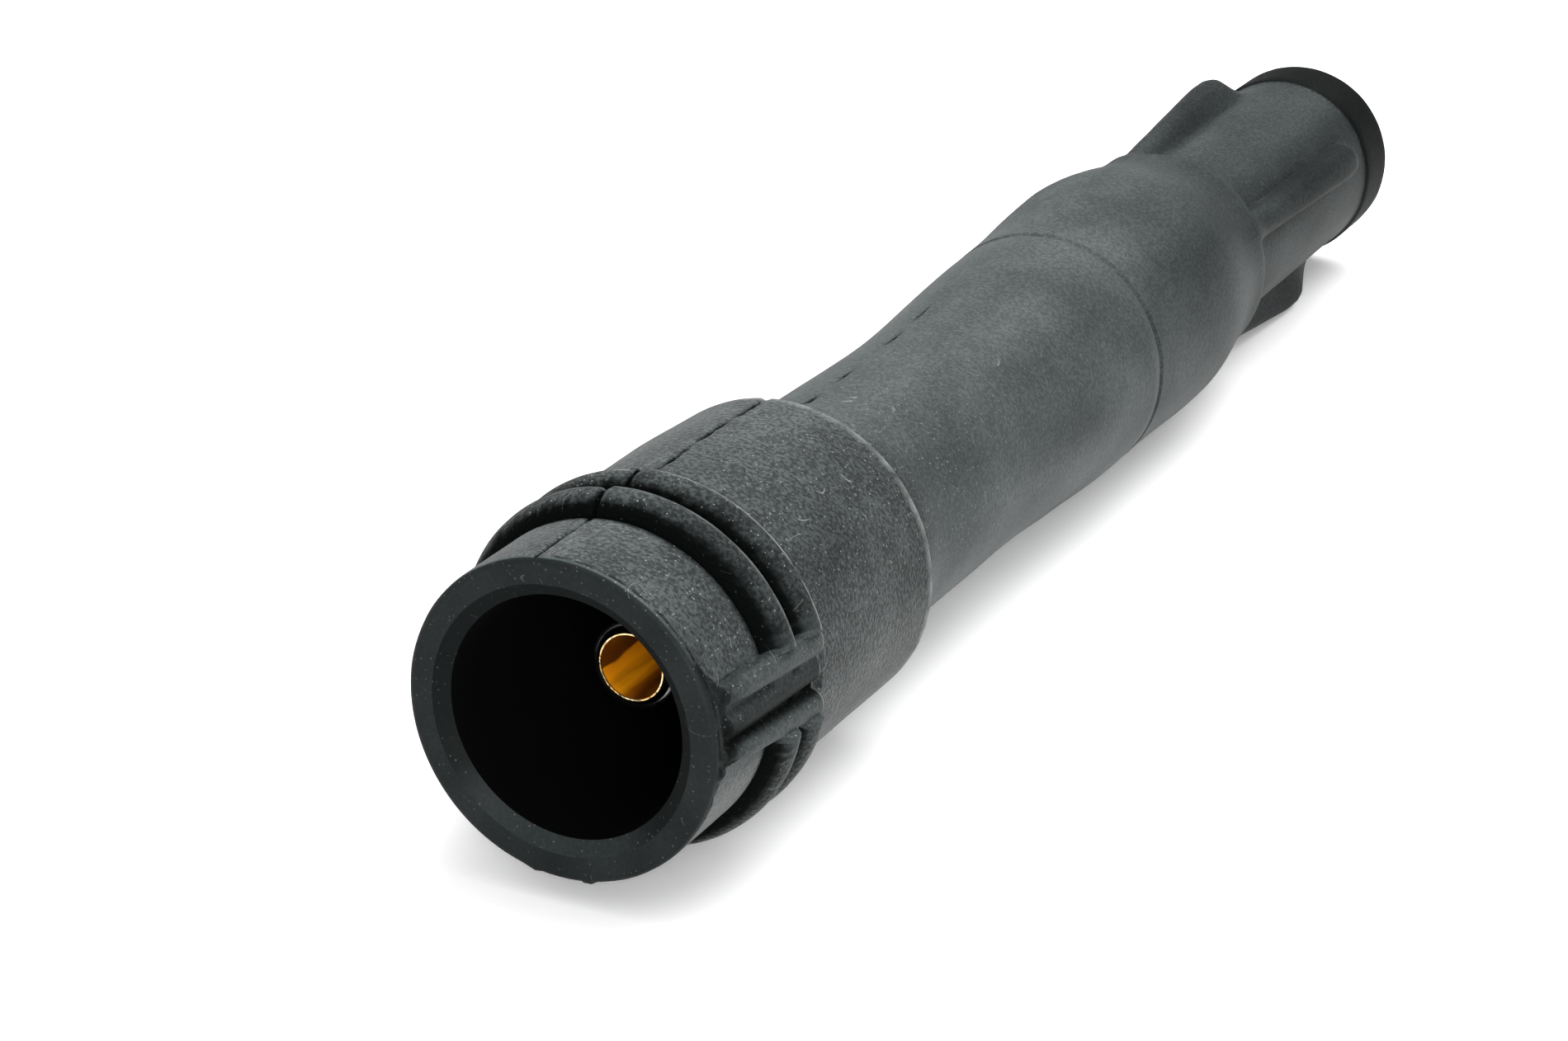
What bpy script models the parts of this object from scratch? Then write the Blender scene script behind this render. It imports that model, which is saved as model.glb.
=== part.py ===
"""Spark plug cap: a long moulded rubber boot that joins an ignition coil to a spark plug.

The boot lies on its side, its mouth towards -Y and its plug end towards +Y. Inside it an insulating
core carries the contact tube, two springs, the suppressor resistor and the plug terminal.
Every piece is drawn along its own Z axis with the mouth face at zero, and hangs from one empty that
lays the whole cap down on its ribs, its swelling and one fin.
"""

import math

import bmesh
import bpy
from mathutils import Matrix, Vector

MM = 0.001

# Boot, outside, from the mouth to the plug end
MOUTH_RADIUS = 12.0 * MM
MOUTH_EDGE = 0.45 * MM
FACE_INNER_RADIUS = 10.1 * MM
COLLAR_LENGTH = 8.3 * MM
RIB_RADIUS = 13.55 * MM
RIB_WIDTH = 2.9 * MM
RIB_GAP = 0.9 * MM
RIB_GROOVE_DEPTH = 0.6 * MM
MAIN_RADIUS = 12.5 * MM
MAIN_LENGTH = 20.4 * MM
MAIN_STEP = 0.3 * MM
SHOULDER_LENGTH = 12.3 * MM
SHOULDER_CROWN = 0.45 * MM
NECK_RADIUS = 10.1 * MM
NECK_LENGTH = 38.5 * MM
NECK_FLARE = 1.0 * MM
LINE_WIDTH = 0.7 * MM
LINE_DEPTH = 0.25 * MM
SWELL_RADIUS = 11.75 * MM
SWELL_LENGTH = 16.5 * MM
TAIL_RADIUS = 10.3 * MM
TAIL_LENGTH = 12.5 * MM
TAIL_STEP_LENGTH = 4.5 * MM
HUB_RADIUS = 8.8 * MM
HUB_LENGTH = 30.0 * MM
END_RADIUS = 9.1 * MM
END_LENGTH = 7.0 * MM
END_EDGE = 1.3 * MM

# Boot, inside
MOUTH_BORE_RADIUS = 9.05 * MM
MOUTH_BORE_DEPTH = 30.0 * MM
MOUTH_LEAD_IN = 0.85 * MM
PLUG_BORE_RADIUS = 5.2 * MM
PLUG_BORE_DEPTH = 38.0 * MM
PLUG_LEAD_IN = 0.9 * MM

# Air vent beside the ribs, and the centring fins at the plug end
VENT_ANGLE = math.radians(93.0)
VENT_SLANT = math.radians(6.0)
VENT_START = 1.3 * MM
RAIL_RADIUS = 13.15 * MM
RAIL_WIDTH = 2.1 * MM
RAIL_SPREAD = math.radians(10.8)
VENT_RIDGE_RADIUS = 12.7 * MM
VENT_RIDGE_WIDTH = 1.5 * MM
VENT_RIDGE_SHIFT = math.radians(0.8)
FIN_COUNT = 4
FIN_CLOCK = math.radians(-17.5)
FIN_RADIUS = 12.0 * MM
FIN_THICKNESS = 2.8 * MM
FIN_LENGTH = 25.5 * MM
FIN_END_SLOPE = 5.6 * MM
FIN_ROOT_DEPTH = 1.6 * MM

# Insulating core
NOSE_TIP = 10.7 * MM
NOSE_RADIUS = 3.35 * MM
NOSE_ROOT_RADIUS = 4.4 * MM
CORE_RADIUS = 6.2 * MM
CORE_FLANGE_RADIUS = 8.5 * MM
CORE_FLANGE_WIDTH = 2.0 * MM
CORE_RING_HEIGHT = 0.9 * MM
CORE_RING_WIDTH = 3.0 * MM
CORE_RING_ONE = 22.0 * MM
CORE_RING_PITCH = 32.0 * MM
CHAMBER_RADIUS = 3.5 * MM

# Contacts, springs and resistor
CONTACT_PROUD = 0.4 * MM
CONTACT_RADIUS = 2.6 * MM
CONTACT_WALL = 0.4 * MM
CONTACT_LENGTH = 22.0 * MM
CONTACT_FLANGE = 1.0 * MM
CONTACT_RIM = 0.12 * MM
SPRING_WIRE = 0.5 * MM
SPRING_RADIUS = 2.6 * MM
COIL_SPRING_LENGTH = 7.4 * MM
COIL_SPRING_TURNS = 5
PLUG_SPRING_TURNS = 7
RESISTOR_LENGTH = 50.0 * MM
CAP_LENGTH = 6.0 * MM
CAP_WALL = 0.3 * MM
TERMINAL_BORE = 3.3 * MM
TERMINAL_WALL = 0.8 * MM
TERMINAL_DEPTH = 12.0 * MM
TERMINAL_FLANGE = 1.2 * MM
TERMINAL_SEAT_RADIUS = 5.0 * MM
TERMINAL_SLIT_WIDTH = 0.8 * MM
TERMINAL_SLIT_LENGTH = 9.0 * MM
SNAP_WIDTH = 1.2 * MM
CLIP_WIRE = 0.7 * MM
CLIP_GROOVE_DEPTH = 0.4 * MM
CLIP_GROOVE_PLACE = 0.55
CLIP_GAP_ANGLE = math.radians(50.0)

# Clearance between pieces that touch, and how finely round shapes are divided
FIT = 0.3 * MM
BOOT_STEPS = 56
CORE_STEPS = 36
CONTACT_STEPS = 28
COIL_STEPS = 10

# Places along the axis, measured from the mouth face
rib_one = COLLAR_LENGTH + RIB_WIDTH / 2
rib_two = rib_one + RIB_WIDTH + RIB_GAP
main_end = rib_two + MAIN_LENGTH
neck_start = main_end + SHOULDER_LENGTH
line_place = neck_start + NECK_LENGTH
swell_crest = line_place + SWELL_LENGTH
tail_end = swell_crest + TAIL_LENGTH
hub_start = tail_end + TAIL_STEP_LENGTH
end_start = hub_start + HUB_LENGTH
boot_length = end_start + END_LENGTH
vent_middle = (VENT_START + rib_two + RIB_WIDTH / 2) / 2
fin_start = tail_end - FIT
fin_end = fin_start + FIN_LENGTH
core_end = boot_length - PLUG_BORE_DEPTH - FIT
core_flange = MOUTH_BORE_DEPTH - FIT
contact_tip = NOSE_TIP - CONTACT_PROUD
contact_base = contact_tip + CONTACT_LENGTH
cap_one = contact_base + COIL_SPRING_LENGTH + 2 * FIT
rod_start = cap_one + CAP_WALL + FIT
rod_end = rod_start + RESISTOR_LENGTH
cap_two = rod_end + FIT + CAP_WALL
terminal_rim = core_end - 2 * FIT
terminal_base = terminal_rim - TERMINAL_DEPTH - TERMINAL_FLANGE
terminal_floor = terminal_base + TERMINAL_FLANGE
TERMINAL_RADIUS = TERMINAL_BORE + TERMINAL_WALL
CAP_RADIUS = CHAMBER_RADIUS - FIT

parts = bpy.data.collections.new("spark_plug_cap")
cutters = bpy.data.collections.new("cutters")


def clear_scene():
    """Removes whatever the scene holds and links the two collections."""
    for item in list(bpy.data.objects):
        bpy.data.objects.remove(item, do_unlink=True)
    bpy.context.scene.collection.children.link(parts)
    bpy.context.scene.collection.children.link(cutters)


def material(name, colour, roughness, metallic=0.0):
    """Makes one plain finish."""
    finish = bpy.data.materials.new(name)
    finish.use_nodes = True
    shader = finish.node_tree.nodes["Principled BSDF"]
    shader.inputs["Base Color"].default_value = (*colour, 1.0)
    shader.inputs["Roughness"].default_value = roughness
    shader.inputs["Metallic"].default_value = metallic
    return finish


def add_object(name, mesh, finish, parent):
    """Puts a mesh into the part under its parent."""
    item = bpy.data.objects.new(name, mesh)
    item.data.materials.append(finish)
    item.parent = parent
    parts.objects.link(item)
    return item


def add_cutter(name, mesh, parent):
    """Puts a mesh among the shapes that only join to or cut another."""
    item = bpy.data.objects.new(name, mesh)
    item.parent = parent
    item.hide_render = True
    item.display_type = "WIRE"
    cutters.objects.link(item)
    return item


def combine(target, tool, operation):
    """Joins or cuts the target with a tool."""
    step = target.modifiers.new(tool.name, "BOOLEAN")
    step.operation = operation
    step.solver = "EXACT"
    step.object = tool


def turned(name, profile, steps, finish, parent):
    """Turns a profile of (radius, place) points whose outer side runs away from the mouth.

    A profile that starts and ends on the axis closes there, and any other closes on itself.
    """
    mesh = bpy.data.meshes.new(name)
    points = [(radius, 0.0, -place) for radius, place in profile]
    edges = [(i, i + 1) for i in range(len(points) - 1)]
    if profile[0][0] > 0.0:
        edges.append((len(points) - 1, 0))
    mesh.from_pydata(points, edges, [])
    item = add_object(name, mesh, finish, parent)
    spin = item.modifiers.new("turn", "SCREW")
    spin.axis = "Z"
    spin.angle = 2 * math.pi
    spin.steps = steps
    spin.render_steps = steps
    spin.use_merge_vertices = True
    spin.merge_threshold = 0.00001
    spin.use_smooth_shade = True
    return item


def sweep(start, end, steps):
    """Points of an S-shaped run from one (radius, place) to another, without the first."""
    run = []
    for i in range(1, steps + 1):
        share = i / steps
        rise = (1 - math.cos(math.pi * share)) / 2
        run.append((start[0] + (end[0] - start[0]) * rise, start[1] + (end[1] - start[1]) * share))
    return run


def crowned(start, end, crown, steps):
    """Points of a straight run that bulges outward in its middle by the crown, without the first."""
    run = []
    for i in range(1, steps + 1):
        share = i / steps
        radius = start[0] + (end[0] - start[0]) * share + crown * math.sin(math.pi * share)
        run.append((radius, start[1] + (end[1] - start[1]) * share))
    return run


def bead(root, crest, centre, width, steps):
    """Points of a half-round bead that stands on a root radius."""
    run = []
    for i in range(steps + 1):
        turn = math.pi * i / steps
        run.append((root + (crest - root) * math.sin(turn), centre - width / 2 * math.cos(turn)))
    return run


def rounded(radius, place, size, steps):
    """Points of the rounded outer edge that closes a cylinder at a place."""
    run = []
    for i in range(steps + 1):
        turn = math.pi / 2 * i / steps
        run.append((radius - size * (1 - math.cos(turn)), place - size * (1 - math.sin(turn))))
    return run


def around(angle, radius, place):
    """The point at an angle round the axis, counted from the parting line at +Y."""
    return Vector((math.sin(angle) * radius, math.cos(angle) * radius, -place))


def boot_outside():
    """The boot's outer outline from the mouth face to the plug end."""
    groove = MOUTH_RADIUS - RIB_GROOVE_DEPTH
    shoulder_top = MAIN_RADIUS - MAIN_STEP
    line_radius = NECK_RADIUS + NECK_FLARE
    run = rounded(MOUTH_RADIUS, MOUTH_EDGE, MOUTH_EDGE, 2)[::-1]
    run = [(radius, MOUTH_EDGE - place) for radius, place in run]
    run += bead(MOUTH_RADIUS, RIB_RADIUS, rib_one, RIB_WIDTH, 8)
    run[-1] = (groove, run[-1][1])
    run += bead(groove, RIB_RADIUS, rib_two, RIB_WIDTH, 8)[:5]
    run += sweep(run[-1], (MAIN_RADIUS - MAIN_STEP / 2, rib_two + RIB_WIDTH / 2), 3)
    run += crowned(run[-1], (MAIN_RADIUS, main_end), MAIN_STEP / 2, 2)
    run.append((shoulder_top, main_end + MAIN_STEP))
    run += crowned(run[-1], (NECK_RADIUS, neck_start), SHOULDER_CROWN, 4)
    run += sweep(run[-1], (line_radius, line_place - LINE_WIDTH / 2), 5)
    run.append((line_radius - LINE_DEPTH, line_place))
    run.append((line_radius, line_place + LINE_WIDTH / 2))
    run += sweep(run[-1], (SWELL_RADIUS, swell_crest), 5)
    run += sweep(run[-1], (TAIL_RADIUS, tail_end), 5)
    run += sweep(run[-1], (HUB_RADIUS, hub_start), 3)
    run.append((HUB_RADIUS, end_start))
    run.append((END_RADIUS, end_start + (END_RADIUS - HUB_RADIUS)))
    run += rounded(END_RADIUS, boot_length, END_EDGE, 3)
    return run


def core_rings():
    """The places of the two rings that lock the core into the boot."""
    first = MOUTH_BORE_DEPTH + CORE_RING_ONE
    return [first, first + CORE_RING_PITCH]


def boot_inside():
    """The boot's bore from the plug end back to the mouth."""
    bore = CORE_RADIUS + FIT
    groove = bore + CORE_RING_HEIGHT
    half = CORE_RING_WIDTH / 2 + FIT
    run = [(PLUG_BORE_RADIUS + PLUG_LEAD_IN, boot_length)]
    run.append((PLUG_BORE_RADIUS, boot_length - PLUG_LEAD_IN))
    run.append((PLUG_BORE_RADIUS, core_end + FIT))
    run.append((bore, core_end + FIT))
    for ring in reversed(core_rings()):
        run += [(bore, ring + half), (groove, ring + half), (groove, ring - half), (bore, ring - half)]
    run.append((bore, MOUTH_BORE_DEPTH))
    run.append((MOUTH_BORE_RADIUS, MOUTH_BORE_DEPTH))
    run.append((MOUTH_BORE_RADIUS, MOUTH_LEAD_IN))
    run.append((FACE_INNER_RADIUS, 0.0))
    return run


def capsule(name, width, start, end, angle, crest):
    """A round-ended rail, slanted like the vent, whose outermost line lies at the crest radius."""
    shape = bmesh.new()
    bmesh.ops.create_uvsphere(shape, u_segments=12, v_segments=8, radius=width / 2)
    half = (end - start) / 2 - width / 2
    for vert in shape.verts:
        vert.co.z += math.copysign(half, vert.co.z) if abs(vert.co.z) > width / 100 else 0.0
    slant = Matrix.Rotation(-VENT_SLANT, 3, around(angle, 1.0, 0.0))
    bmesh.ops.rotate(shape, verts=shape.verts, cent=(0, 0, 0), matrix=slant)
    bmesh.ops.translate(shape, verts=shape.verts, vec=around(angle, crest - width / 2, (start + end) / 2))
    mesh = bpy.data.meshes.new(name)
    shape.to_mesh(mesh)
    shape.free()
    return mesh


def vent_block(name, size, radius, place):
    """A block across the vent, slanted like the rails, with its middle at a radius and a place."""
    shape = bmesh.new()
    bmesh.ops.create_cube(shape, size=1.0)
    bmesh.ops.scale(shape, verts=shape.verts, vec=size)
    bmesh.ops.translate(shape, verts=shape.verts, vec=around(0.0, radius, place))
    slant = Matrix.Rotation(-VENT_SLANT, 3, "Y")
    bmesh.ops.rotate(shape, verts=shape.verts, cent=around(0.0, 0.0, vent_middle), matrix=slant)
    turn = Matrix.Rotation(-VENT_ANGLE, 3, "Z")
    bmesh.ops.rotate(shape, verts=shape.verts, cent=(0, 0, 0), matrix=turn)
    mesh = bpy.data.meshes.new(name)
    shape.to_mesh(mesh)
    shape.free()
    return mesh


def fin_mesh(angle):
    """One centring fin: a flat outline given its thickness, with a rounded crest and end."""
    root = HUB_RADIUS - FIN_ROOT_DEPTH
    outline = [
        (root, fin_start),
        (TAIL_RADIUS - FIT, fin_start),
        (FIN_RADIUS, fin_end - FIN_THICKNESS),
        (FIN_RADIUS, fin_end),
        (HUB_RADIUS, fin_end + FIN_END_SLOPE),
        (root, fin_end + FIN_END_SLOPE),
    ]
    shape = bmesh.new()
    side = [shape.verts.new((-FIN_THICKNESS / 2, radius, -place)) for radius, place in outline]
    sheet = shape.faces.new(side)
    lifted = bmesh.ops.extrude_face_region(shape, geom=[sheet])["geom"]
    far_side = [item for item in lifted if isinstance(item, bmesh.types.BMVert)]
    bmesh.ops.translate(shape, verts=far_side, vec=(FIN_THICKNESS, 0.0, 0.0))
    bmesh.ops.recalc_face_normals(shape, faces=shape.faces)
    crest = []
    for edge in shape.edges:
        middle = (edge.verts[0].co + edge.verts[1].co) / 2
        if abs(middle.x) > FIN_THICKNESS / 4 and middle.y > HUB_RADIUS:
            crest.append(edge)
    bmesh.ops.bevel(
        shape, geom=crest, offset=FIN_THICKNESS * 0.46, segments=3, profile=0.5, affect="EDGES", material=-1
    )
    bmesh.ops.rotate(shape, verts=shape.verts, cent=(0, 0, 0), matrix=Matrix.Rotation(-angle, 3, "Z"))
    mesh = bpy.data.meshes.new("fin")
    shape.to_mesh(mesh)
    shape.free()
    return mesh


def make_boot(finish, parent):
    """The rubber boot: a turned body joined to its vent rails and centring fins."""
    boot = turned("boot", boot_outside() + boot_inside(), BOOT_STEPS, finish, parent)
    vent_end = rib_two + RIB_WIDTH / 4
    width = 2 * math.sin(RAIL_SPREAD) * MOUTH_RADIUS
    height = 2 * (RIB_RADIUS - MOUTH_RADIUS)
    length = RIB_RADIUS - MOUTH_RADIUS + vent_end - rib_one + RIB_WIDTH / 2
    size = (width, height, length)
    channel = vent_block("vent_channel", size, MOUTH_RADIUS + height / 2, vent_end - length / 2)
    combine(boot, add_cutter("vent_channel", channel, parent), "DIFFERENCE")
    size = (width + RAIL_WIDTH / 4, 3 * RIB_GROOVE_DEPTH, rib_two - rib_one)
    bed_top = MOUTH_RADIUS - RIB_GROOVE_DEPTH / 3
    bed = vent_block("vent_bed", size, bed_top - size[1] / 2, (rib_one + rib_two) / 2)
    combine(boot, add_cutter("vent_bed", bed, parent), "UNION")
    rail_end = rib_two + RIB_WIDTH / 2
    for number, side in enumerate((-1, 1)):
        rail = capsule("rail", RAIL_WIDTH, VENT_START, rail_end, VENT_ANGLE + side * RAIL_SPREAD, RAIL_RADIUS)
        combine(boot, add_cutter(f"vent_rail_{number}", rail, parent), "UNION")
    ridge_angle = VENT_ANGLE + VENT_RIDGE_SHIFT
    ridge = capsule("ridge", VENT_RIDGE_WIDTH, VENT_START, vent_end, ridge_angle, VENT_RIDGE_RADIUS)
    combine(boot, add_cutter("vent_ridge", ridge, parent), "UNION")
    for number in range(FIN_COUNT):
        fin = fin_mesh(FIN_CLOCK + number * 2 * math.pi / FIN_COUNT)
        combine(boot, add_cutter(f"fin_{number}", fin, parent), "UNION")
    return boot


def make_core(finish, parent):
    """The hard insulating core, with its nose in the mouth and the terminal's seat at its other end."""
    body = [(NOSE_RADIUS, NOSE_TIP), (NOSE_ROOT_RADIUS, core_flange - CORE_FLANGE_WIDTH)]
    body.append((CORE_FLANGE_RADIUS, core_flange - CORE_FLANGE_WIDTH))
    body += [(CORE_FLANGE_RADIUS, core_flange), (CORE_RADIUS, core_flange)]
    ring_top = CORE_RADIUS + CORE_RING_HEIGHT
    half = CORE_RING_WIDTH / 2
    for ring in core_rings():
        body += [(CORE_RADIUS, ring - half), (ring_top, ring - half), (ring_top, ring + half)]
        body.append((CORE_RADIUS, ring + half))
    body += [(CORE_RADIUS, core_end), (TERMINAL_SEAT_RADIUS, core_end)]
    snap = TERMINAL_RADIUS + FIT
    snap_start = terminal_floor + FIT
    body += [(TERMINAL_SEAT_RADIUS, snap_start + SNAP_WIDTH), (snap, snap_start + SNAP_WIDTH)]
    body += [(snap, snap_start), (TERMINAL_SEAT_RADIUS, snap_start)]
    body += [(TERMINAL_SEAT_RADIUS, terminal_base - FIT), (CHAMBER_RADIUS, terminal_base - FIT)]
    seat = contact_base - CONTACT_FLANGE - FIT
    body += [(CHAMBER_RADIUS, seat), (CONTACT_RADIUS + FIT, seat), (CONTACT_RADIUS + FIT, NOSE_TIP)]
    return turned("insulator_core", body, CORE_STEPS, finish, parent)


def make_contact(finish, parent):
    """The contact tube that takes the coil's pin: a drawn tube with a closed, flanged base."""
    bore = CONTACT_RADIUS - CONTACT_WALL
    floor = contact_base - CONTACT_FLANGE
    body = [(0.0, floor), (bore, floor), (bore, contact_tip + CONTACT_RIM), (bore + CONTACT_RIM, contact_tip)]
    body += [(CONTACT_RADIUS - CONTACT_RIM, contact_tip), (CONTACT_RADIUS, contact_tip + CONTACT_RIM)]
    body += [(CONTACT_RADIUS, floor), (CAP_RADIUS, floor), (CAP_RADIUS, contact_base), (0.0, contact_base)]
    return turned("contact_tube", body, CONTACT_STEPS, finish, parent)


def wire(name, points, thickness, finish, parent):
    """A round wire along a row of points, with closed ends."""
    curve = bpy.data.curves.new(name, "CURVE")
    curve.dimensions = "3D"
    curve.bevel_depth = thickness / 2
    curve.bevel_resolution = 2
    curve.use_fill_caps = True
    spline = curve.splines.new("POLY")
    spline.points.add(len(points) - 1)
    for slot, point in zip(spline.points, points):
        slot.co = (*point, 1.0)
    return add_object(name, curve, finish, parent)


def make_spring(name, start, end, turns, finish, parent):
    """A compression spring between two seats."""
    first = start + SPRING_WIRE / 2
    travel = end - start - SPRING_WIRE
    count = turns * COIL_STEPS
    points = []
    for i in range(count + 1):
        turn = 2 * math.pi * i / COIL_STEPS
        points.append(around(turn, SPRING_RADIUS, first + travel * i / count))
    return wire(name, points, SPRING_WIRE, finish, parent)


def make_resistor(parent):
    """The suppressor resistor: a ceramic rod with a metal cup pushed onto each end."""
    ceramic = material("resistor_ceramic", (0.72, 0.68, 0.60), 0.55)
    cup = material("resistor_cup", (0.62, 0.62, 0.60), 0.30, 1.0)
    radius = CAP_RADIUS - CAP_WALL - FIT
    edge = CAP_WALL
    rod = [(0.0, rod_start), (radius - edge, rod_start), (radius, rod_start + edge)]
    rod += [(radius, rod_end - edge), (radius - edge, rod_end), (0.0, rod_end)]
    turned("resistor_rod", rod, CONTACT_STEPS, ceramic, parent)
    inner = CAP_RADIUS - CAP_WALL
    for name, back, way in (("resistor_cap_coil_side", cap_one, 1), ("resistor_cap_plug_side", cap_two, -1)):
        floor = back + way * CAP_WALL
        mouth = back + way * CAP_LENGTH
        cap = [(0.0, back), (CAP_RADIUS, back), (CAP_RADIUS, mouth), (inner, mouth), (inner, floor), (0.0, floor)]
        turned(name, cap if way > 0 else cap[::-1], CONTACT_STEPS, cup, parent)


def make_terminal(finish, parent):
    """The plug terminal: a sprung cup with four slits that snaps over the plug's nut."""
    groove = terminal_floor + TERMINAL_DEPTH * CLIP_GROOVE_PLACE
    half = CLIP_WIRE / 2 + FIT / 2
    low = TERMINAL_RADIUS - CLIP_GROOVE_DEPTH
    flange = TERMINAL_SEAT_RADIUS - FIT
    body = [(0.0, terminal_base), (flange, terminal_base), (flange, terminal_floor)]
    body += [(TERMINAL_RADIUS, terminal_floor), (TERMINAL_RADIUS, groove - half), (low, groove - half)]
    body += [(low, groove + half), (TERMINAL_RADIUS, groove + half), (TERMINAL_RADIUS, terminal_rim)]
    body += [(TERMINAL_BORE + FIT, terminal_rim), (TERMINAL_BORE, terminal_rim - FIT)]
    body += [(TERMINAL_BORE, terminal_floor), (0.0, terminal_floor)]
    terminal = turned("plug_terminal", body, CONTACT_STEPS, finish, parent)
    for number in range(2):
        slit = bmesh.new()
        bmesh.ops.create_cube(slit, size=1.0)
        size = (4 * TERMINAL_RADIUS, TERMINAL_SLIT_WIDTH, 2 * TERMINAL_SLIT_LENGTH)
        bmesh.ops.scale(slit, verts=slit.verts, vec=size)
        bmesh.ops.rotate(
            slit, verts=slit.verts, cent=(0, 0, 0), matrix=Matrix.Rotation(math.radians(45 + 90 * number), 3, "Z")
        )
        bmesh.ops.translate(slit, verts=slit.verts, vec=(0.0, 0.0, -terminal_rim))
        mesh = bpy.data.meshes.new("slit")
        slit.to_mesh(mesh)
        slit.free()
        combine(terminal, add_cutter(f"slit_{number}", mesh, parent), "DIFFERENCE")
    clip_radius = low + FIT + CLIP_WIRE / 2
    sweep_angle = 2 * math.pi - CLIP_GAP_ANGLE
    count = 2 * COIL_STEPS
    points = []
    for i in range(count + 1):
        points.append(around(CLIP_GAP_ANGLE / 2 + sweep_angle * i / count, clip_radius, groove))
    steel = material("clip_steel", (0.55, 0.55, 0.54), 0.30, 1.0)
    wire("terminal_clip", points, CLIP_WIRE, steel, parent)


def lay_down(rest):
    """Lays the cap on its second rib and its swelling, rolled until one fin meets the floor too."""
    reach = swell_crest - rib_two
    slope = math.atan2(RIB_RADIUS - SWELL_RADIUS, reach)
    floor_at_fin = SWELL_RADIUS - (fin_end - swell_crest) * math.tan(slope)
    crest = FIN_THICKNESS / 2
    lean = math.acos(min(1.0, (floor_at_fin - crest) / (FIN_RADIUS - crest)))
    roll = math.pi - lean - (FIN_CLOCK + math.pi)
    rest.rotation_mode = "ZYX"
    rest.rotation_euler = (math.pi / 2 - slope, 0.0, -roll)
    bpy.context.view_layer.update()
    boot = parts.objects["boot"].evaluated_get(bpy.context.evaluated_depsgraph_get())
    corners = [boot.matrix_world @ vert.co for vert in boot.data.vertices]
    low = [min(corner[axis] for corner in corners) for axis in range(3)]
    high = [max(corner[axis] for corner in corners) for axis in range(3)]
    rest.location = (-(low[0] + high[0]) / 2, -(low[1] + high[1]) / 2, -low[2])


clear_scene()
rest = bpy.data.objects.new("rest", None)
parts.objects.link(rest)
rubber = material("boot_rubber", (0.055, 0.058, 0.058), 0.62)
plastic = material("core_plastic", (0.012, 0.012, 0.012), 0.28)
brass = material("contact_brass", (0.80, 0.58, 0.24), 0.22, 1.0)
spring_steel = material("spring_steel", (0.58, 0.58, 0.57), 0.28, 1.0)
make_boot(rubber, rest)
make_core(plastic, rest)
make_contact(brass, rest)
make_spring("coil_side_spring", contact_base + FIT, cap_one - FIT, COIL_SPRING_TURNS, spring_steel, rest)
make_resistor(rest)
make_spring("plug_side_spring", cap_two + FIT, terminal_base - FIT, PLUG_SPRING_TURNS, spring_steel, rest)
make_terminal(brass, rest)
lay_down(rest)
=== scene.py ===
import math

import bmesh
import bpy
from mathutils import Matrix, Vector, noise


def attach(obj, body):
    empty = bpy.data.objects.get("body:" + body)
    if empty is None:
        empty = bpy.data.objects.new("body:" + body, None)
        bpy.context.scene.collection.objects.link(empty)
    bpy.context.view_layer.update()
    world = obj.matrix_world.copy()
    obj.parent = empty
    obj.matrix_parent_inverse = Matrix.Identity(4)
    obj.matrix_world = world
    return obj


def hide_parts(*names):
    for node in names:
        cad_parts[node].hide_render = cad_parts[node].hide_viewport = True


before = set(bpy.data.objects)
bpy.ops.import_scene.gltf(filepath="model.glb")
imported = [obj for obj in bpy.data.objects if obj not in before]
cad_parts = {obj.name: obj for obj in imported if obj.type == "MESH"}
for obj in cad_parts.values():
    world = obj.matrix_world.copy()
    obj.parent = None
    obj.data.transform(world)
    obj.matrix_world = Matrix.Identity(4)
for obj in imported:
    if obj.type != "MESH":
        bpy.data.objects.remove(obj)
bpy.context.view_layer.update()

# The photographer stands at the cap's mouth, a little above it and to its right,
# and looks along the cap through a long lens.
CAMERA_PLACE = (0.11433, -0.27433, 0.12612)
LOOKS_ALONG = (-0.407123, 0.824139, -0.393759)
camera_data = bpy.data.cameras.new("camera")
camera_data.sensor_width = 36.0
camera_data.lens = 85.26
camera = bpy.data.objects.new("camera", camera_data)
camera.location = CAMERA_PLACE
camera.rotation_euler = Vector(LOOKS_ALONG).to_track_quat("-Z", "Y").to_euler()
bpy.context.scene.collection.objects.link(camera)
bpy.context.scene.camera = camera

# The boot: one long moulding of dark grey rubber, which slips over the coil's tower at its mouth
# and over the spark plug at its far end. It is pressed in a mould of two halves, so a thin, broken
# parting line runs along its top and its underside, and its skin keeps the mould's fine grain.
MM = 0.001
MOUTH_CENTRE = Vector((0.000031, -0.07757, 0.013857))
LEAN = math.radians(1.1758)
ROLL = math.radians(7.889)
lying_down = Matrix.Rotation(math.pi / 2 - LEAN, 4, "X")
lay = Matrix.Translation(MOUTH_CENTRE) @ lying_down @ Matrix.Rotation(ROLL, 4, "Z")

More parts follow.
